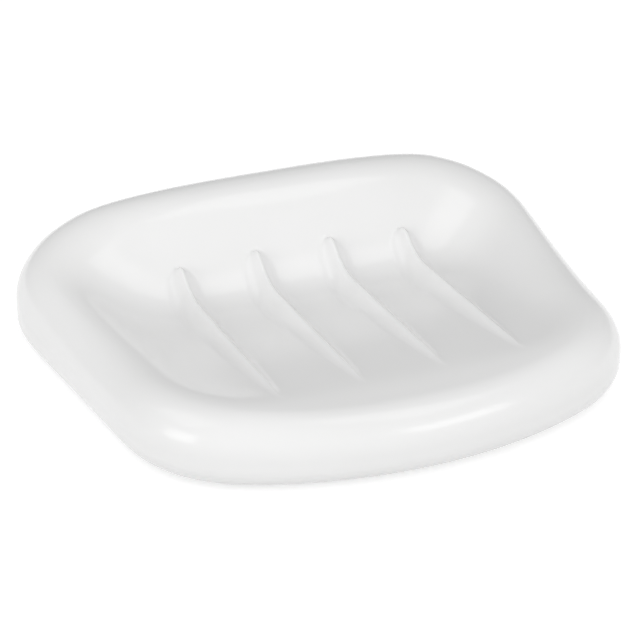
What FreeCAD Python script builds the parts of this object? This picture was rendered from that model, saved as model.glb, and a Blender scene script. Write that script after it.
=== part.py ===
import FreeCAD, Part
import math
import os
import Sketcher
from FreeCAD import Vector

# Soap dish: a one-piece rolled-rim tray with a raised back, four drain ribs and a hollow underside,
# standing on four round pads. X runs along the width, the back is at +Y, and Z is zero on the table.

# Driving dimensions in millimetres, each written once
SIZES = {
    # Plan of the rim
    "width": 130,
    "front_width": 117.4,
    "depth": 109.8,
    "back_corner": 20.2,
    "front_corner": 29.3,
    "front_bow": 97.4,
    # Heights of the rim above its lower edge
    "back_height": 28.9,
    "back_arch": 6.1,
    "waist_height": 15.7,
    "waist_offset": 2.8,
    "lip_height": 15.3,
    "lip_rise": 2.25,
    # Section of the rim
    "roll_radius": 13.3,
    "edge_radius": 5.6,
    "foot_ring": 2,
    "wall": 4.5,
    # Plan of the tray floor, and its heights at the back and front above the rim's lower edge
    "floor_width": 78,
    "floor_front_width": 84,
    "floor_back": 10,
    "floor_front": 34.5,
    "floor_back_corner": 14,
    "floor_front_corner": 22,
    "floor_bow": 130,
    "floor_back_height": 8.8,
    "floor_front_height": 14.9,
    # Drain ribs
    "rib_pitch": 18.9,
    "rib_height": 3,
    "rib_half_base": 4.2,
    "rib_crest": 0.25,
    "rib_tip": 37,
    "rib_knee": 8,
    "rib_top": 24.5,
    "rib_round": 5,
    "rib_root": 1.2,
    # Corner lands and feet
    "land_diameter": 20,
    "foot_diameter": 12,
    "foot_clearance": 0.1,
    "foot_seat": 1,
    "foot_gap": 1,
    "foot_edge": 0.4,
    "rear_foot_side": 15.5,
    "rear_foot_back": 15.4,
    "front_foot_side": 18.2,
    "front_foot_front": 24.9,
}

RIB_COUNT = 4
RIB_TAPER_SECTIONS = 6
RIB_CLIMB_SECTIONS = 4
RIB_TOP_SECTIONS = 5

# Least share of the rib height at its ends, sag of its flanks as a share of its height, and how far
# its flanks sink into the tray as a share of its root
RIB_LEAST = 0.03
RIB_SAG = 0.2
RIB_SINK = 0.1

# Least height of the wall under the roll, as a multiple of its lower edge's radius
SIDE_SHARE = 1.2

# Counts of sections along each stretch of the half outline
BACK_SECTIONS = 4
BACK_CORNER_SECTIONS = 6
END_SECTIONS = 5
FRONT_CORNER_SECTIONS = 6
BOW_SECTIONS = 4

# Degree of the skin, and length of the control arms of a quarter round as a share of its radius
DEGREE = 3
ARM = 4 / 3 * (math.sqrt(2) - 1)

# Shares of the inner slope over which it leaves the crest and runs out on the floor, and the halvings
# that find a place on it
SLOPE_TOP = 0.4
SLOPE_FOOT = 0.59
HALVINGS = 30

doc = FreeCAD.newDocument("soap_dish")


def make_sheet():
    """Spreadsheet with one aliased cell for each driving dimension."""
    sheet = doc.addObject("Spreadsheet::Sheet", "sizes")
    for row, (name, value) in enumerate(SIZES.items(), start=1):
        sheet.set(f"A{row}", name)
        sheet.set(f"B{row}", str(value))
        sheet.setAlias(f"B{row}", name)
    doc.recompute()
    return sheet


sizes = make_sheet()


def arc(centre, radius, start, end, count):
    """Points along an arc, by the angle of its outward normal from +Y; the last point is left out."""
    angles = [start + (end - start) * k / count for k in range(count)]
    return [centre + Vector(math.sin(a), math.cos(a)) * radius for a in angles]


def line(start, end, count):
    """Points along a straight stretch; the last point is left out."""
    return [start + (end - start) * (k / count) for k in range(count)]


def outline(half, front_half, back, front, back_corner, front_corner, bow):
    """Closed plan outline as points: straight back, round corners, tapering ends and a bowed front."""
    sweep = math.asin((front_half - front_corner) / (bow - front_corner))
    back_centre = Vector(half - back_corner, back - back_corner)
    front_centre = Vector(front_half - front_corner, front + bow - (bow - front_corner) * math.cos(sweep))
    # The end is the common tangent of the two corner arcs
    run = back_centre - front_centre
    end_angle = math.pi / 2 + math.atan2(run.x, run.y) - math.asin((front_corner - back_corner) / run.Length)
    normal = Vector(math.sin(end_angle), math.cos(end_angle))
    corner_start = Vector(half - back_corner, back)
    end_start = back_centre + normal * back_corner
    end_stop = front_centre + normal * front_corner

    right = line(Vector(0, back), corner_start, BACK_SECTIONS)
    right += arc(back_centre, back_corner, 0, end_angle, BACK_CORNER_SECTIONS)
    right += line(end_start, end_stop, END_SECTIONS)
    right += arc(front_centre, front_corner, end_angle, math.pi - sweep, FRONT_CORNER_SECTIONS)
    right += arc(Vector(0, front + bow), bow, math.pi - sweep, math.pi, BOW_SECTIONS)
    left = [Vector(-p.x, p.y) for p in reversed(right[1:])]
    return right + [Vector(0, front)] + left


def rim_outline():
    """Plan of the outside of the rim."""
    return outline(sizes.width / 2, sizes.front_width / 2, sizes.depth / 2, -sizes.depth / 2,
                   sizes.back_corner, sizes.front_corner, sizes.front_bow)


def floor_outline():
    """Plan of the tray floor, with a point for each of the rim's."""
    return outline(sizes.floor_width / 2, sizes.floor_front_width / 2, sizes.floor_back, -sizes.floor_front,
                   sizes.floor_back_corner, sizes.floor_front_corner, sizes.floor_bow)


def crest(point):
    """Height of the rim, a smooth run through the arched back, the waist of the ends and the dipped lip."""
    across = (point.x / (sizes.width / 2)) ** 2
    stations = [
        (sizes.depth / 2, sizes.back_height - sizes.back_arch * across),
        (-sizes.waist_offset, sizes.waist_height),
        (-sizes.depth / 2, sizes.lip_height + sizes.lip_rise * across),
    ]
    height = 0
    for here, value in stations:
        others = [there for there, _ in stations if there != here]
        height += value * math.prod((point.y - there) / (here - there) for there in others)
    return height


def roll(height):
    """Radius of the rolled rim, limited by the height of the wall that it rounds off."""
    return min(sizes.roll_radius, height - SIDE_SHARE * sizes.edge_radius)


def floor_level(y):
    """Height of the tray floor, a plane that rises from the back to the lip."""
    share = (sizes.floor_back - y) / (sizes.floor_back + sizes.floor_front)
    return sizes.floor_back_height + (sizes.floor_front_height - sizes.floor_back_height) * share


def slope(edge, foot):
    """Control points of the tray's inner slope from crest to floor, as inset and height."""
    height = crest(edge)
    start = roll(height)
    run = (foot - edge).Length
    top = (run - start) * SLOPE_TOP
    runout = (run - start) * SLOPE_FOOT
    floor = floor_level(foot.y)
    tilt = (floor - floor_level(edge.y)) / run
    return [(start, height), (start + top, height), (run - runout, floor - tilt * runout), (run, floor)]


def between(start, stop):
    """Control points of a straight stretch, without its first."""
    steps = [k / DEGREE for k in range(1, DEGREE + 1)]
    return [(start[0] + (stop[0] - start[0]) * k, start[1] + (stop[1] - start[1]) * k) for k in steps]


def outer_section(edge, foot):
    """Outside of the wall from its lower edge over the roll to the tray floor, as control points."""
    tray = slope(edge, foot)
    radius, height = tray[0]
    under = sizes.edge_radius
    lower_edge = [(under, 0), (under - ARM * under, 0), (0, under - ARM * under), (0, under)]
    side = between(lower_edge[-1], (0, height - radius))
    rolled = [(0, height - radius + ARM * radius), (radius - ARM * radius, height)]
    return lower_edge + side + rolled + tray


def inner_section(edge, foot):
    """Inside of the wall from below the lower edge, within the foot ring and one wall under the tray."""
    tray = [(inset, level - sizes.wall) for inset, level in slope(edge, foot)]
    radius, height = tray[0]
    inset = sizes.edge_radius + sizes.foot_ring
    centre = height - radius + sizes.wall
    side = [(inset, -sizes.wall)] + between((inset, -sizes.wall), (inset, centre))
    rolled = [(inset, centre + ARM * (height - centre)), (radius - ARM * (radius - inset), height)]
    return side + rolled + tray


def moulded_form(name, section):
    """Solid with a smooth skin through a section at every outline point, closed by a flat floor and base."""
    rim = rim_outline()
    rows = []
    for edge, foot in zip(rim, floor_outline()):
        inward = (foot - edge).normalize()
        rows.append([edge + inward * inset + Vector(0, 0, level + sizes.foot_gap)
                     for inset, level in section(edge, foot)])
    lengths = [(there - here).Length for here, there in zip(rim, rim[1:] + rim[:1])]
    places = [sum(lengths[:k]) for k in range(len(lengths) + 1)]
    rings = []
    for points in zip(*rows):
        ring = Part.BSplineCurve()
        ring.interpolate(Points=list(points), PeriodicFlag=True, Parameters=places)
        rings.append(ring)
    halves = [(places[0], places[len(rim) // 2]), (places[len(rim) // 2], places[-1])]
    faces = []
    for first in range(0, len(rings) - 1, DEGREE):
        net = [ring.getPoles() for ring in rings[first:first + DEGREE + 1]]
        band = Part.BSplineSurface()
        band.buildFromPolesMultsKnots([list(row) for row in zip(*net)], rings[0].getMultiplicities(),
                                      [DEGREE + 1, DEGREE + 1], rings[0].getKnots(), [0, 1], True, False,
                                      DEGREE, DEGREE)
        for start, stop in halves:
            half = band.copy()
            half.segment(start, stop, 0, 1)
            faces.append(half.toShape())
    for ring in (rings[0], rings[-1]):
        faces.append(Part.Face(Part.Wire([ring.toShape(start, stop) for start, stop in halves])))
    shell = Part.makeShell(faces)
    shell.sewShape()
    solid = Part.makeSolid(shell)
    if solid.Volume < 0:
        solid.reverse()
    form = doc.addObject("Part::Feature", name)
    form.Shape = solid
    return form


def tray_height(x, y):
    """Height of the tray surface on the floor and back slope, above the rim's lower edge."""
    if y < sizes.floor_back:
        return floor_level(y)
    # The sections of the back slope spread from the floor's back edge to the rim's
    spread = (sizes.width / 2 - sizes.back_corner) / (sizes.floor_width / 2 - sizes.floor_back_corner)
    climb = (y - sizes.floor_back) / (sizes.depth / 2 - sizes.floor_back)
    foot = Vector(x / (1 + (spread - 1) * climb), sizes.floor_back)
    edge = Vector(foot.x * spread, sizes.depth / 2)
    tray = Part.BezierCurve()
    tray.setPoles([Vector(inset, 0, level) for inset, level in slope(edge, foot)])
    inset = tray.EndPoint.x * (1 - climb)
    low, high = 0, 1
    for _ in range(HALVINGS):
        middle = (low + high) / 2
        if tray.value(middle).x < inset:
            low = middle
        else:
            high = middle
    return tray.value(high).z


def rib_share(y):
    """Share of the full rib height: a straight taper to the tip and a rounded top on the back slope."""
    if y < sizes.rib_knee:
        return (y + sizes.rib_tip) / (sizes.rib_knee + sizes.rib_tip)
    past = max(0, y - sizes.rib_top + sizes.rib_round) / sizes.rib_round
    return math.sqrt(max(0, 1 - past ** 2))


def rib_section(x, y):
    """Closed cross-section of a rib: a softened crest with hollow flanks, rooted in the tray wall."""
    share = max(rib_share(y), RIB_LEAST)
    rise = sizes.rib_height * share
    half = sizes.rib_half_base * (1 + share) / 2
    level = tray_height(x, y) + sizes.foot_gap
    peak = Vector(x, y, level + rise)
    feet = [Vector(x + side * half, y, level - sizes.rib_root * RIB_SINK) for side in (-1, 1)]
    shoulders = [peak + Vector(side * sizes.rib_crest * share, 0, 0) for side in (-1, 1)]
    roots = [foot - Vector(0, 0, sizes.rib_root) for foot in feet]
    sag = Vector(0, 0, rise * RIB_SAG)
    flanks = [Part.Arc(foot, (foot + shoulder) / 2 - sag, shoulder).toShape()
              for foot, shoulder in zip(feet, shoulders)]
    flats = Part.makePolygon(shoulders).Edges + Part.makePolygon([feet[0], *roots, feet[1]]).Edges
    return Part.Wire(Part.__sortEdges__(flanks + flats))


def make_rib(number):
    """Drain rib from the back slope along the floor to a fine tip short of the lip."""
    x = (number - (RIB_COUNT - 1) / 2) * sizes.rib_pitch
    rounding = sizes.rib_top - sizes.rib_round
    stretches = [
        (-sizes.rib_tip, sizes.rib_knee, RIB_TAPER_SECTIONS),
        (sizes.rib_knee, rounding, RIB_CLIMB_SECTIONS),
    ]
    stations = [start + (stop - start) * k / count for start, stop, count in stretches for k in range(count)]
    turns = [math.pi / 2 * k / RIB_TOP_SECTIONS for k in range(RIB_TOP_SECTIONS + 1)]
    stations += [rounding + sizes.rib_round * math.sin(turn) for turn in turns]
    rib = doc.addObject("Part::Feature", f"rib_{number + 1}")
    rib.Shape = Part.makeLoft([rib_section(x, y) for y in stations], True, False)
    return rib


def make_cylinder(name, diameter, height, x, y, z):
    """Upright cylinder whose size and place are bound to the sheet."""
    cylinder = doc.addObject("Part::Cylinder", name)
    cylinder.setExpression("Radius", f"({diameter}) / 2")
    cylinder.setExpression("Height", height)
    cylinder.setExpression("Placement.Base.x", x)
    cylinder.setExpression("Placement.Base.y", y)
    cylinder.setExpression("Placement.Base.z", z)
    return cylinder


def combine(kind, name, base, tools):
    """Boolean of a base with several tools, one feature for each."""
    for number, tool in enumerate(tools, start=1):
        result = doc.addObject(kind, f"{name}_{number}")
        result.Base = base
        result.Tool = tool
        base = result
    return base


# Each foot's name and place, as expressions of the sheet, set in from the rim
FRONT_X = "(sizes.front_width / 2 - sizes.front_foot_side)"
FRONT_Y = "sizes.front_foot_front - sizes.depth / 2"
REAR_X = "(sizes.width / 2 - sizes.rear_foot_side)"
REAR_Y = "sizes.depth / 2 - sizes.rear_foot_back"
FEET = {
    "front_left": ("-" + FRONT_X, FRONT_Y),
    "front_right": (FRONT_X, FRONT_Y),
    "rear_left": ("-" + REAR_X, REAR_Y),
    "rear_right": (REAR_X, REAR_Y),
}


def make_dish_body():
    """One piece: the ribbed outer form less its hollow, which leaves a land with a seat over each foot."""
    outer = moulded_form("outer_form", outer_section)
    hollow = moulded_form("hollow_form", inner_section)
    lands = []
    seats = []
    for name, (x, y) in FEET.items():
        land_height = "sizes.back_height + sizes.wall"
        seat_size = "sizes.foot_diameter + 2 * sizes.foot_clearance"
        lands.append(make_cylinder(f"land_{name}", "sizes.land_diameter", land_height, x, y,
                                   "sizes.foot_gap"))
        seats.append(make_cylinder(f"seat_{name}", seat_size, "sizes.foot_seat + sizes.wall", x, y,
                                   "sizes.foot_gap - sizes.wall"))
    ribbed = combine("Part::Fuse", "ribbed", outer, [make_rib(k) for k in range(RIB_COUNT)])
    cavity = combine("Part::Cut", "cavity", hollow, lands)
    body = combine("Part::Cut", "shell", ribbed, [cavity] + seats)
    body.Label = "dish_body"
    return body


def make_foot(name, x, y):
    """Round pad in its shallow seat, with a bevelled lower edge."""
    body = doc.addObject("PartDesign::Body", f"foot_{name}")
    body.Label = f"foot_{name}"
    plane = next(item for item in body.Origin.OriginFeatures if item.Role == "XY_Plane")
    sketch = body.newObject("Sketcher::SketchObject", f"foot_{name}_circle")
    sketch.AttachmentSupport = [(plane, "")]
    sketch.MapMode = "FlatFace"
    sketch.addGeometry(Part.Circle(Vector(), Vector(0, 0, 1), sizes.foot_diameter / 2), False)
    sketch.addConstraint(Sketcher.Constraint("Coincident", 0, 3, -1, 1))
    radius = sketch.addConstraint(Sketcher.Constraint("Radius", 0, sizes.foot_diameter / 2))
    sketch.setExpression(f"Constraints[{radius}]", "sizes.foot_diameter / 2")
    pad = body.newObject("PartDesign::Pad", f"foot_{name}_pad")
    pad.Profile = sketch
    pad.setExpression("Length", "sizes.foot_gap + sizes.foot_seat")
    doc.recompute()
    lower = [f"Edge{k}" for k, edge in enumerate(pad.Shape.Edges, start=1)
             if edge.BoundBox.ZMax < sizes.foot_gap]
    softened = body.newObject("PartDesign::Chamfer", f"foot_{name}_edge")
    softened.Base = (pad, lower)
    softened.setExpression("Size", "sizes.foot_edge")
    body.setExpression("Placement.Base.x", x)
    body.setExpression("Placement.Base.y", y)
    return body


def export(nodes):
    """Check every object and each node's solid, then write one file for each node."""
    doc.recompute()
    for item in doc.Objects:
        if "Invalid" in item.State or "Error" in item.State:
            raise RuntimeError(f"{item.Label} failed to build")
    for node in nodes:
        if node.Shape.isNull() or not node.Shape.isValid():
            raise RuntimeError(f"{node.Label} has no valid solid")
    os.makedirs("parts", exist_ok=True)
    for node in nodes:
        node.Shape.exportStep(f"parts/{node.Label}.step")
        print(node.Label, "solids", len(node.Shape.Solids), "volume", round(node.Shape.Volume, 1))


export([make_dish_body()] + [make_foot(name, x, y) for name, (x, y) in FEET.items()])
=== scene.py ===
"""Soap dish on a plain pale floor, seen from the photograph's viewing angle."""
import math
import bmesh
import bpy
import numpy as np
from mathutils import Matrix, Vector
from mathutils.bvhtree import BVHTree
from mathutils.geometry import delaunay_2d_cdt


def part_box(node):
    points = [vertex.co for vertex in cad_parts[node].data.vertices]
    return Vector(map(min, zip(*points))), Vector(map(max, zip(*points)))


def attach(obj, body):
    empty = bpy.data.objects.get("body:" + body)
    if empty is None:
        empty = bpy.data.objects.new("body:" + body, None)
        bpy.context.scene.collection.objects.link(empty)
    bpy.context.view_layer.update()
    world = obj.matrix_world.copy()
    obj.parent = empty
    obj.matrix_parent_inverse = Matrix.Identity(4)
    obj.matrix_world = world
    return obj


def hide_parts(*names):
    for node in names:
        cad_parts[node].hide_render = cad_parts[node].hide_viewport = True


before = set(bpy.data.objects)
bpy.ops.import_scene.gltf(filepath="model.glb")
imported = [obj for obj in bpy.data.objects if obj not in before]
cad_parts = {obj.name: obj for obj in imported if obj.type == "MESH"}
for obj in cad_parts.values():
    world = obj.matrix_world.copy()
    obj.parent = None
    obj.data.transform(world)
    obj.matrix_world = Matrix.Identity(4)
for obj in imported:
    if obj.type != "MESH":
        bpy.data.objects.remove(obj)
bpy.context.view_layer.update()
body_low, body_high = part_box("dish_body")
PADS = [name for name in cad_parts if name.startswith("foot")]

# Camera: where it looks from, in degrees, and how the picture is framed, in metres and pixels
PICTURE = 640
SENSOR = 36.0
VIEW_AZIMUTH = -22.65
VIEW_ELEVATION = 27.69
VIEW_DISTANCE = 0.5
PIXELS_PER_METRE = 4341.6
AIM = Vector((0.0, 0.00092, 0.001))
AIM_PIXELS = (15.13, 36.07)
CLIP_START = 0.01

# Lamps: azimuth from the front towards the right and elevation in degrees, width and height in metres,
# and power in watts; all stand at one distance from the dish
LAMPS = {
    "front_right": (30, 26, 0.42, 0.24, 0.75),
    "left": (-75, 15, 0.4, 0.34, 0.95),
    "left_high": (-100, 55, 0.6, 0.4, 0.6),
    "overhead": (60, 69, 0.4, 0.4, 0.6),
}
LAMP_TARGET = Vector((0.0, 0.0, 0.015))
LAMP_DISTANCE = 0.9

# Light from all round, and how it changes towards +X, +Y and +Z
AMBIENT = 0.853
AMBIENT_LEAN = (-0.13, -0.41, -0.27)

# Floor: size in metres, colour in bounced light, and the glow and colour that the camera sees
FLOOR_SIZE = 6.0
FLOOR_COLOUR = (0.8, 0.8, 0.8, 1.0)
FLOOR_GLOW = 0.65
FLOOR_SHADE = (0.53, 0.53, 0.53, 1.0)
WHITE = (1.0, 1.0, 1.0, 1.0)

# Materials: each noise has its cells per metre and its detail, and each relief its depth in metres and
# its strength
IOR = 1.5
NOISE_RANGE = (0.3, 0.7)
GLAZE = {
    "tint_noise": (40, 2),
    "colours": ((0.82, 0.82, 0.815, 1), (0.85, 0.85, 0.85, 1)),
    "gloss_noise": (220, 3),
    "roughness": (0.14, 0.19),
    "relief_noise": (120, 2),
    "relief": (0.00005, 0.2),
}
RUBBER = {
    "tint_noise": (900, 3),
    "colours": ((0.56, 0.56, 0.55, 1), (0.66, 0.66, 0.65, 1)),
    "gloss_noise": (2500, 2),
    "roughness": (0.6, 0.8),
    "relief_noise": (5000, 2),
    "relief": (0.00005, 0.4),
}

# The dish in metres: plan of the rim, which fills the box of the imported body
HALF_WIDTH = body_high[0]
BACK = body_high[1]
FRONT = body_low[1]
BASE = body_low[2]
FRONT_HALF_WIDTH = 0.0587
BACK_CORNER = 0.0202
FRONT_CORNER = 0.0293
FRONT_BOW = 0.0974

# Heights of the rim above its lower edge, at the back, at the waist of the ends and at the lip
BACK_HEIGHT = 0.0288
BACK_ARCH = 0.0068
WAIST_HEIGHT = 0.0156
WAIST_PLACE = -0.003
LIP_HEIGHT = 0.0152
LIP_RISE = 0.0055
ARCH_POWER = 2.9

# Section of the rim: rolled top, whose radius is at most a share of the rim's height, rounded lower edge,
# foot ring and wall
ROLL_RADIUS = 0.0136
ROLL_SHARE = 0.55
EDGE_RADIUS = 0.005
FOOT_RING = 0.002
WALL = 0.0045

# Length of the control arms of a quarter round as a share of its radius, and even places along a
# straight band
ARM = 4 / 3 * (math.sqrt(2) - 1)
EVEN_PLACES = (0, 1 / 3, 2 / 3, 1)

# Shares of the tray's slope over which it leaves the crest and runs out on the floor, at the front and
# at the back
SLOPE_TOP = (0.33, 0.42)
SLOPE_FOOT = (0.42, 0.58)

# Plan and heights of the tray floor
FLOOR_HALF_WIDTH = 0.035
FLOOR_FRONT_HALF_WIDTH = 0.037
FLOOR_BACK = 0.012
FLOOR_FRONT = -0.035
FLOOR_BACK_CORNER = 0.008
FLOOR_FRONT_CORNER = 0.019
FLOOR_BOW = 0.13
FLOOR_BACK_HEIGHT = 0.0088
FLOOR_FRONT_HEIGHT = 0.0149

# Drain ribs: number and pitch, height, half breadth and the least share of it, softness of the crest, and
# the places along Y of the tip, the bend and the rounded top
RIB_COUNT = 4
RIB_PITCH = 0.0189
RIB_PLACES = [RIB_PITCH * (number - (RIB_COUNT - 1) / 2) for number in range(RIB_COUNT)]
RIB_HEIGHT = 0.0036
RIB_HALF_BASE = 0.0042
RIB_SLIM = 0.35
RIB_CREST = 0.06
RIB_TIP = -0.037
RIB_KNEE = 0.008
RIB_TOP = 0.027
RIB_ROUND = 0.004

# Lands and seats of the pads under the corners
LAND_DIAMETER = 0.02
SEAT_CLEARANCE = 0.0001
SEAT_DEPTH = 0.001
ROUND_SIDES = 64

# Fineness of the mesh: points on each stretch of half the outline, rounds that soften its joins, rows of
# each band of the section, spacing in the tray and on the ribs, least gap to the tray's edge as a share of
# that spacing, and columns of points across half a rib as shares of its half breadth
STRETCH_POINTS = (32, 28, 40, 32, 32)
SOFTENING = 30
EDGE_ROWS, SIDE_ROWS, ROLL_ROWS, SLOPE_ROWS = 10, 5, 20, 40
TRAY_SPACING = 0.0012
RIB_SPACING = 0.0007
EDGE_GAP = 0.7
RIB_COLUMNS = (0, 0.05, 0.1, 0.18, 0.3, 0.45, 0.6, 0.75, 0.88, 1, 1.15)
SHARP_ANGLE = math.radians(60)

# Triangles of the tray: the choice that keeps those inside its edge, and the distance at which points merge
KEEP_INSIDE = 1
MERGE_DISTANCE = 1e-7

# Softening of the tray: height that its rays start from, and the disc over which their hits are averaged
RAY_START = 1.0
BLEND_RADIUS = 0.007
BLEND_RINGS = 3
BLEND_SIDES = 8


def direction(azimuth, elevation):
    """Unit vector towards a place round the dish; azimuth 0 is the front and grows towards the right."""
    turn, lift = math.radians(azimuth), math.radians(elevation)
    return Vector((math.sin(turn) * math.cos(lift), -math.cos(turn) * math.cos(lift), math.sin(lift)))


def add_camera():
    """Camera of the photograph."""
    back = direction(VIEW_AZIMUTH, VIEW_ELEVATION)
    turn = math.radians(VIEW_AZIMUTH)
    right = Vector((math.cos(turn), math.sin(turn), 0))
    up = back.cross(right)
    aside, above = (pixels / PIXELS_PER_METRE for pixels in AIM_PIXELS)
    place = AIM + back * VIEW_DISTANCE - right * aside + up * above
    camera = bpy.data.objects.new("camera", bpy.data.cameras.new("camera"))
    camera.matrix_world = Matrix.Translation(place) @ Matrix((right, up, back)).transposed().to_4x4()
    camera.data.sensor_width = SENSOR
    camera.data.lens = PIXELS_PER_METRE * VIEW_DISTANCE * SENSOR / PICTURE
    camera.data.clip_start = CLIP_START
    bpy.context.collection.objects.link(camera)
    bpy.context.scene.camera = camera


def add_lamp(name, azimuth, elevation, width, height, power):
    """Soft box that faces the dish."""
    lamp = bpy.data.lights.new(name, "AREA")
    lamp.shape = "RECTANGLE"
    lamp.size = width
    lamp.size_y = height
    lamp.energy = power
    holder = bpy.data.objects.new(name, lamp)
    away = direction(azimuth, elevation)
    holder.location = LAMP_TARGET + away * LAMP_DISTANCE
    holder.rotation_euler = away.to_track_quat("Z", "Y").to_euler()
    bpy.context.collection.objects.link(holder)


def new_material(name):
    """Material with an empty node tree, and its output node."""
    material = bpy.data.materials.new(name)
    material.use_nodes = True
    material.node_tree.nodes.clear()
    return material, material.node_tree, material.node_tree.nodes.new("ShaderNodeOutputMaterial")


def seen_directly(tree):
    """Socket that is 1 for what the camera sees, also mirrored or through glass, and 0 for other light."""
    path = tree.nodes.new("ShaderNodeLightPath")
    seen = path.outputs["Is Camera Ray"]
    for ray in ("Is Glossy Ray", "Is Transmission Ray"):
        either = tree.nodes.new("ShaderNodeMath")
        either.operation = "MAXIMUM"
        tree.links.new(seen, either.inputs[0])
        tree.links.new(path.outputs[ray], either.inputs[1])
        seen = either.outputs[0]
    return seen


def floor_material():
    """Pale floor that shows white where it is lit and keeps the soft shadow of the dish."""
    material, tree, output = new_material("floor")
    pale = tree.nodes.new("ShaderNodeBsdfDiffuse")
    pale.inputs["Color"].default_value = FLOOR_COLOUR
    shade = tree.nodes.new("ShaderNodeBsdfDiffuse")
    shade.inputs["Color"].default_value = FLOOR_SHADE
    glow = tree.nodes.new("ShaderNodeEmission")
    glow.inputs["Color"].default_value = WHITE
    glow.inputs["Strength"].default_value = FLOOR_GLOW
    shown = tree.nodes.new("ShaderNodeAddShader")
    tree.links.new(shade.outputs[0], shown.inputs[0])
    tree.links.new(glow.outputs[0], shown.inputs[1])
    mix = tree.nodes.new("ShaderNodeMixShader")
    tree.links.new(seen_directly(tree), mix.inputs[0])
    tree.links.new(pale.outputs[0], mix.inputs[1])
    tree.links.new(shown.outputs[0], mix.inputs[2])
    tree.links.new(mix.outputs[0], output.inputs["Surface"])
    return material


def add_floor():
    """Plain floor under the dish."""
    half = FLOOR_SIZE / 2
    corners = [(-half, -half, 0), (half, -half, 0), (half, half, 0), (-half, half, 0)]
    mesh = bpy.data.meshes.new("floor")
    mesh.from_pydata(corners, [], [(0, 1, 2, 3)])
    mesh.materials.append(floor_material())
    floor = bpy.data.objects.new("floor", mesh)
    bpy.context.collection.objects.link(floor)


def set_world():
    """Soft light from all round, stronger from some sides, and a white background."""
    world = bpy.data.worlds.new("studio")
    world.use_nodes = True
    bpy.context.scene.world = world
    tree = world.node_tree
    tree.nodes.clear()
    output = tree.nodes.new("ShaderNodeOutputWorld")
    around = tree.nodes.new("ShaderNodeBackground")
    around.inputs["Color"].default_value = WHITE
    coordinates = tree.nodes.new("ShaderNodeTexCoord")
    lean = tree.nodes.new("ShaderNodeVectorMath")
    lean.operation = "DOT_PRODUCT"
    lean.inputs[1].default_value = AMBIENT_LEAN
    tree.links.new(coordinates.outputs["Generated"], lean.inputs[0])
    level = tree.nodes.new("ShaderNodeMath")
    level.inputs[1].default_value = AMBIENT
    tree.links.new(lean.outputs["Value"], level.inputs[0])
    tree.links.new(level.outputs[0], around.inputs["Strength"])
    behind = tree.nodes.new("ShaderNodeBackground")
    behind.inputs["Color"].default_value = WHITE
    mix = tree.nodes.new("ShaderNodeMixShader")
    path = tree.nodes.new("ShaderNodeLightPath")
    tree.links.new(path.outputs["Is Camera Ray"], mix.inputs[0])
    tree.links.new(around.outputs[0], mix.inputs[1])
    tree.links.new(behind.outputs[0], mix.inputs[2])
    tree.links.new(mix.outputs[0], output.inputs["Surface"])


def noise(tree, scale, detail):
    """Noise of so many cells per metre over the object's own coordinates, as a socket."""
    coordinates = tree.nodes.new("ShaderNodeTexCoord")
    texture = tree.nodes.new("ShaderNodeTexNoise")
    texture.inputs["Scale"].default_value = scale
    texture.inputs["Detail"].default_value = detail
    tree.links.new(coordinates.outputs["Object"], texture.inputs["Vector"])
    return texture.outputs["Fac"]


def spread(tree, source, low, high):
    """Socket that runs from low to high over the middle of the noise's range."""
    ramp = tree.nodes.new("ShaderNodeMapRange")
    ramp.inputs["From Min"].default_value = NOISE_RANGE[0]
    ramp.inputs["From Max"].default_value = NOISE_RANGE[1]
    ramp.inputs["To Min"].default_value = low
    ramp.inputs["To Max"].default_value = high
    tree.links.new(source, ramp.inputs["Value"])
    return ramp.outputs["Result"]


def tint(tree, source, first, second):
    """Colour socket that wanders between two near colours."""
    mix = tree.nodes.new("ShaderNodeMix")
    mix.data_type = "RGBA"
    mix.inputs["A"].default_value = first
    mix.inputs["B"].default_value = second
    tree.links.new(source, mix.inputs["Factor"])
    return mix.outputs["Result"]


def relief(tree, source, depth, strength):
    """Normal socket of a fine relief, depth in metres."""
    bump = tree.nodes.new("ShaderNodeBump")
    bump.inputs["Distance"].default_value = depth
    bump.inputs["Strength"].default_value = strength
    tree.links.new(source, bump.inputs["Height"])
    return bump.outputs["Normal"]


def uneven_material(name, look):
    """Material whose colour, gloss and fine relief vary a little over the surface."""
    material, tree, output = new_material(name)
    shader = tree.nodes.new("ShaderNodeBsdfPrincipled")
    shader.inputs["IOR"].default_value = IOR
    colour = tint(tree, noise(tree, *look["tint_noise"]), *look["colours"])
    roughness = spread(tree, noise(tree, *look["gloss_noise"]), *look["roughness"])
    normal = relief(tree, noise(tree, *look["relief_noise"]), *look["relief"])
    tree.links.new(colour, shader.inputs["Base Color"])
    tree.links.new(roughness, shader.inputs["Roughness"])
    tree.links.new(normal, shader.inputs["Normal"])
    tree.links.new(shader.outputs[0], output.inputs["Surface"])
    return material


def line(start, stop, count):
    """Points along a straight stretch; the last is left out."""
    share = np.arange(count)[:, None] / count
    return np.array(start) + (np.array(stop) - np.array(start)) * share


def arc(centre, radius, start, stop, count):
    """Points along an arc, by the angle of its outward normal from +Y; the last is left out."""
    angles = start + (stop - start) * np.arange(count) / count
    return np.array(centre) + radius * np.stack([np.sin(angles), np.cos(angles)], 1)


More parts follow.
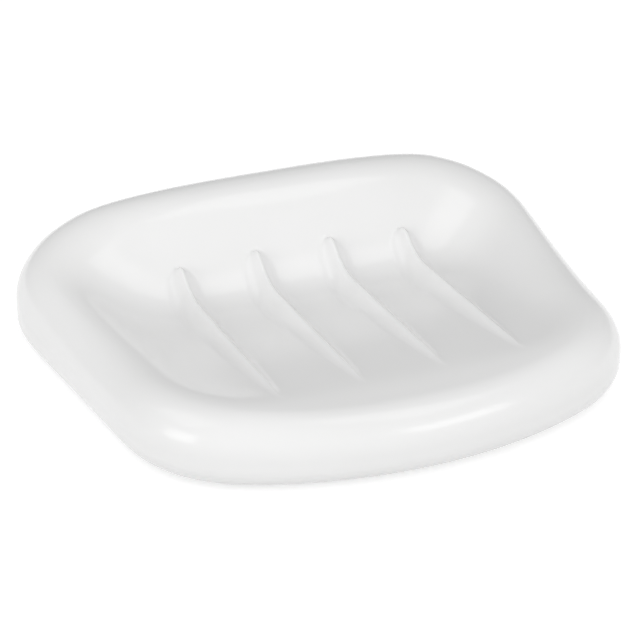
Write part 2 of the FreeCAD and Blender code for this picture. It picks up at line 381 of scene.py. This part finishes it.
def outline(half, front_half, back, front, back_corner, front_corner, bow):
    """Closed plan outline: straight back, round corners, tapering ends, bowed front and soft joins."""
    sweep = math.asin((front_half - front_corner) / (bow - front_corner))
    back_centre = np.array((half - back_corner, back - back_corner))
    front_centre = np.array((front_half - front_corner, front + bow - (bow - front_corner) * math.cos(sweep)))
    run = back_centre - front_centre
    end_angle = math.pi / 2 + math.atan2(*run) - math.asin((front_corner - back_corner) / np.hypot(*run))
    normal = np.array((math.sin(end_angle), math.cos(end_angle)))
    counts = STRETCH_POINTS
    right = np.vstack([
        line((0, back), (half - back_corner, back), counts[0]),
        arc(back_centre, back_corner, 0, end_angle, counts[1]),
        line(back_centre + normal * back_corner, front_centre + normal * front_corner, counts[2]),
        arc(front_centre, front_corner, end_angle, math.pi - sweep, counts[3]),
        arc((0, front + bow), bow, math.pi - sweep, math.pi, counts[4]),
    ])
    ring = np.vstack([right, [(0, front)], right[:0:-1] * (-1, 1)])
    soft = ring
    for _ in range(SOFTENING):
        soft = (np.roll(soft, 1, 0) + 2 * soft + np.roll(soft, -1, 0)) / 4
    return soft * (np.ptp(ring, axis=0) / np.ptp(soft, axis=0))


def crest(rim):
    """Height of the rim, a smooth run through the arched back, the waist of the ends and the dipped lip."""
    across = np.abs(rim[:, 0] / HALF_WIDTH) ** ARCH_POWER
    stations = (
        (BACK, BACK_HEIGHT - BACK_ARCH * across),
        (WAIST_PLACE, WAIST_HEIGHT),
        (FRONT, LIP_HEIGHT + LIP_RISE * across),
    )
    height = np.zeros(len(rim))
    for here, value in stations:
        others = [there for there, _ in stations if there != here]
        height += value * math.prod((rim[:, 1] - there) / (here - there) for there in others)
    return height


def floor_level(y):
    """Height of the tray floor, a plane that rises from the back to the lip."""
    share = (FLOOR_BACK - y) / (FLOOR_BACK - FLOOR_FRONT)
    return FLOOR_BACK_HEIGHT + (FLOOR_FRONT_HEIGHT - FLOOR_BACK_HEIGHT) * share


def band(corners, rows):
    """Rows of a smooth band between four control places, each an inset and a level at every outline point."""
    share = np.arange(rows) / rows
    weights = ((1 - share) ** 3, 3 * (1 - share) ** 2 * share, 3 * (1 - share) * share ** 2, share ** 3)
    places = [np.array(np.broadcast_arrays(inset, level)) for inset, level in corners]
    return [sum(weight[row] * place for weight, place in zip(weights, places)) for row in range(rows)]


class Skin:
    """Section of the dish at every point of its outline."""

    def __init__(self):
        self.rim = outline(HALF_WIDTH, FRONT_HALF_WIDTH, BACK, FRONT, BACK_CORNER, FRONT_CORNER, FRONT_BOW)
        self.foot = outline(FLOOR_HALF_WIDTH, FLOOR_FRONT_HALF_WIDTH, FLOOR_BACK, FLOOR_FRONT,
                            FLOOR_BACK_CORNER, FLOOR_FRONT_CORNER, FLOOR_BOW)
        self.run = np.linalg.norm(self.foot - self.rim, axis=1)
        self.inward = (self.foot - self.rim) / self.run[:, None]
        self.height = crest(self.rim)
        self.radius = np.minimum(ROLL_RADIUS, ROLL_SHARE * self.height)

    def rows(self, places):
        """Rows of insets and levels as rings of points."""
        rings = []
        for inset, level in places:
            plan = self.rim + self.inward * inset[:, None]
            rings.append(np.column_stack([plan, BASE + level]))
        return rings

    def slope(self, sunk):
        """Tray slope from the crest to the floor, sunk by so much."""
        floor = floor_level(self.foot[:, 1])
        tilt = (floor - floor_level(self.rim[:, 1])) / self.run
        length = self.run - self.radius
        top = length * np.interp(self.rim[:, 1], (FRONT, BACK), SLOPE_TOP)
        foot = length * np.interp(self.rim[:, 1], (FRONT, BACK), SLOPE_FOOT)
        corners = [
            (self.radius, self.height - sunk),
            (self.radius + top, self.height - sunk),
            (self.run - foot, floor - tilt * foot - sunk),
            (self.run, floor - sunk),
        ]
        return self.rows(band(corners, SLOPE_ROWS) + [(self.run, floor - sunk)])

    def outside(self):
        """Outer wall from its lower edge to the crest, without the crest itself."""
        zero = np.zeros(len(self.rim))
        under = zero + EDGE_RADIUS
        shoulder = self.height - self.radius
        lower = [(under, zero), (under * (1 - ARM), zero), (zero, under * (1 - ARM)), (zero, under)]
        side = [(zero, under + (shoulder - under) * share) for share in EVEN_PLACES]
        rolled = [(zero, shoulder), (zero, shoulder + ARM * self.radius),
                  (self.radius * (1 - ARM), self.height), (self.radius, self.height)]
        return self.rows(band(lower, EDGE_ROWS) + band(side, SIDE_ROWS) + band(rolled, ROLL_ROWS))

    def inside(self):
        """Inner wall from below the lower edge up to the underside of the crest, without that itself."""
        zero = np.zeros(len(self.rim))
        inset = zero + EDGE_RADIUS + FOOT_RING
        top = self.height - WALL
        shoulder = self.height - self.radius
        side = [(inset, shoulder * share - WALL * (1 - share)) for share in EVEN_PLACES]
        rolled = [(inset, shoulder), (inset, shoulder + ARM * (top - shoulder)),
                  (self.radius - ARM * (self.radius - inset), top), (self.radius, top)]
        return self.rows(band(side, SIDE_ROWS) + band(rolled, ROLL_ROWS))


def ring_faces(rows, size):
    """Quads between neighbouring rings."""
    faces = []
    for row in range(rows - 1):
        for here in range(size):
            there = (here + 1) % size
            low, high = row * size, (row + 1) * size
            faces.append((low + here, low + there, high + there, high + here))
    return faces


def rib_share(y):
    """Share of the full rib height: a straight taper to the tip and a rounded top on the back slope."""
    taper = np.clip((y - RIB_TIP) / (RIB_KNEE - RIB_TIP), 0, 1)
    past = np.clip((y - RIB_TOP + RIB_ROUND) / RIB_ROUND, 0, 1)
    return taper * np.sqrt(1 - past ** 2)


def rib_half(y):
    """Half the breadth of a rib."""
    return RIB_HALF_BASE * (RIB_SLIM + (1 - RIB_SLIM) * rib_share(y))


def rib_offset(x):
    """Distance across to the nearest rib."""
    return min(abs(x - place) for place in RIB_PLACES)


def rib_rise(x, y):
    """How far the ribs stand above the tray: soft crests with hollow flanks that run out on the floor."""
    across = math.hypot(rib_offset(x) / rib_half(y), RIB_CREST) - RIB_CREST
    return RIB_HEIGHT * rib_share(y) * max(0, 1 - across) ** 2


def tray_points(boundary):
    """Plan points of the tray: an even grid, and closer rows along each rib."""
    stations = np.arange(RIB_TIP, RIB_TOP + RIB_ROUND / 2, RIB_SPACING)
    points = [(place + side * column * rib_half(y), y) for place in RIB_PLACES for y in stations
              for column in RIB_COLUMNS for side in ((-1, 1) if column else (1,))]
    low, high = boundary.min(0), boundary.max(0)
    for x in np.arange(low[0], high[0], TRAY_SPACING):
        for y in np.arange(low[1], high[1], TRAY_SPACING):
            reach = RIB_COLUMNS[-1] * rib_half(y) + TRAY_SPACING / 2
            on_rib = stations[0] - TRAY_SPACING / 2 < y < stations[-1] + TRAY_SPACING / 2
            if not (on_rib and rib_offset(x) < reach):
                points.append((x, y))
    gaps = [np.hypot(*(boundary - point).T).min() for point in points]
    return [(*point, gap) for point, gap in zip(points, gaps) if gap > TRAY_SPACING * EDGE_GAP]


def blended_height(tray, x, y, radius):
    """Mean height of the tray round a place, which softens its folds, or None beside the tray."""
    places = [(x, y)]
    for ring in range(1, BLEND_RINGS + 1):
        for side in range(BLEND_SIDES):
            turn = 2 * math.pi * (side + ring / 2) / BLEND_SIDES
            reach = radius * ring / BLEND_RINGS
            places.append((x + reach * math.cos(turn), y + reach * math.sin(turn)))
    hits = [tray.ray_cast(Vector((*place, RAY_START)), Vector((0, 0, -1)))[0] for place in places]
    return sum(hit.z for hit in hits) / len(hits) if all(hits) else None


def tray_patch(skin):
    """Tray with its ribs inside the crest: points, of which the crest comes first, and faces."""
    slope = skin.slope(0)
    size = len(skin.rim)
    middle = np.array([(0, (FLOOR_BACK + FLOOR_FRONT) / 2, 0)])
    middle[0, 2] = floor_level(middle[0, 1]) + BASE
    plain = np.vstack(slope + [middle])
    last = (len(slope) - 1) * size
    fan = [(last + here, last + (here + 1) % size, len(plain) - 1) for here in range(size)]
    tray = BVHTree.FromPolygons(plain.tolist(), ring_faces(len(slope), size) + fan)
    points = [tuple(point) for point in slope[0]]
    for x, y, gap in tray_points(slope[0][:, :2]):
        height = blended_height(tray, x, y, min(BLEND_RADIUS, gap / 2))
        if height is not None:
            points.append((x, y, height + rib_rise(x, y)))
    edges = [(here, (here + 1) % size) for here in range(size)]
    plan = [Vector(point[:2]) for point in points]
    _, _, faces, origins, _, _ = delaunay_2d_cdt(plan, edges, [], KEEP_INSIDE, MERGE_DISTANCE)
    return points, [tuple(origins[corner][0] for corner in face) for face in faces]


def new_piece(name, points, faces):
    """Closed mesh object with its faces turned outwards."""
    mesh = bpy.data.meshes.new(name)
    mesh.from_pydata(points, [], faces)
    work = bmesh.new()
    work.from_mesh(mesh)
    bmesh.ops.recalc_face_normals(work, faces=work.faces)
    work.to_mesh(mesh)
    work.free()
    piece = bpy.data.objects.new(name, mesh)
    bpy.context.collection.objects.link(piece)
    return piece


def outer_form(skin):
    """Solid form of the dish with its ribbed tray."""
    size = len(skin.rim)
    wall = skin.outside()
    points = [tuple(point) for row in wall for point in row]
    patch, patch_faces = tray_patch(skin)
    faces = ring_faces(len(wall) + 1, size)
    faces += [tuple(corner + len(points) for corner in face) for face in patch_faces]
    faces.append(tuple(range(size)))
    return new_piece("dish", points + patch, faces)


def hollow_form(skin):
    """Space under the dish."""
    size = len(skin.rim)
    rings = skin.inside() + skin.slope(WALL)
    points = [tuple(point) for row in rings for point in row]
    last = (len(rings) - 1) * size
    caps = [tuple(range(size)), tuple(range(last, last + size))]
    return new_piece("hollow", points, ring_faces(len(rings), size) + caps)


def columns(name, diameter, low, high):
    """Upright round columns, one over each pad."""
    shapes = bmesh.new()
    for pad in PADS:
        pad_low, pad_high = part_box(pad)
        place = ((pad_low[0] + pad_high[0]) / 2, (pad_low[1] + pad_high[1]) / 2, (low + high) / 2)
        bmesh.ops.create_cone(shapes, cap_ends=True, segments=ROUND_SIDES, radius1=diameter / 2,
                              radius2=diameter / 2, depth=high - low, matrix=Matrix.Translation(place))
    mesh = bpy.data.meshes.new(name)
    shapes.to_mesh(mesh)
    shapes.free()
    piece = bpy.data.objects.new(name, mesh)
    bpy.context.collection.objects.link(piece)
    return piece


def cut(piece, tool):
    """Takes a tool's volume out of a piece, and deletes the tool."""
    modifier = piece.modifiers.new("cut", "BOOLEAN")
    modifier.operation = "DIFFERENCE"
    modifier.solver = "EXACT"
    modifier.object = tool
    shape = bpy.data.meshes.new_from_object(piece.evaluated_get(bpy.context.evaluated_depsgraph_get()))
    piece.modifiers.clear()
    piece.data = shape
    bpy.data.objects.remove(tool)


def add_dish(glaze):
    """The dish with its hollow underside, lands and seats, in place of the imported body."""
    skin = Skin()
    dish = outer_form(skin)
    hollow = hollow_form(skin)
    pad_low, pad_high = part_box(PADS[0])
    seat = pad_high[0] - pad_low[0] + 2 * SEAT_CLEARANCE
    cut(hollow, columns("lands", LAND_DIAMETER, BASE, BASE + BACK_HEIGHT + WALL))
    cut(dish, hollow)
    cut(dish, columns("seats", seat, BASE - WALL, BASE + SEAT_DEPTH))
    dish.data.materials.clear()
    dish.data.materials.append(glaze)
    dish.data.shade_smooth()
    dish.data.set_sharp_from_angle(angle=SHARP_ANGLE)
    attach(dish, "root")
    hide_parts("dish_body")


def dress_pads():
    """The pads keep their shape and get their material."""
    rubber = uneven_material("rubber", RUBBER)
    for pad in PADS:
        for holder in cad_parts[pad].material_slots:
            holder.material = rubber


add_camera()
add_floor()
set_world()
for lamp_name, values in LAMPS.items():
    add_lamp(lamp_name, *values)
add_dish(uneven_material("glaze", GLAZE))
dress_pads()
bpy.context.scene.view_settings.view_transform = "Standard"
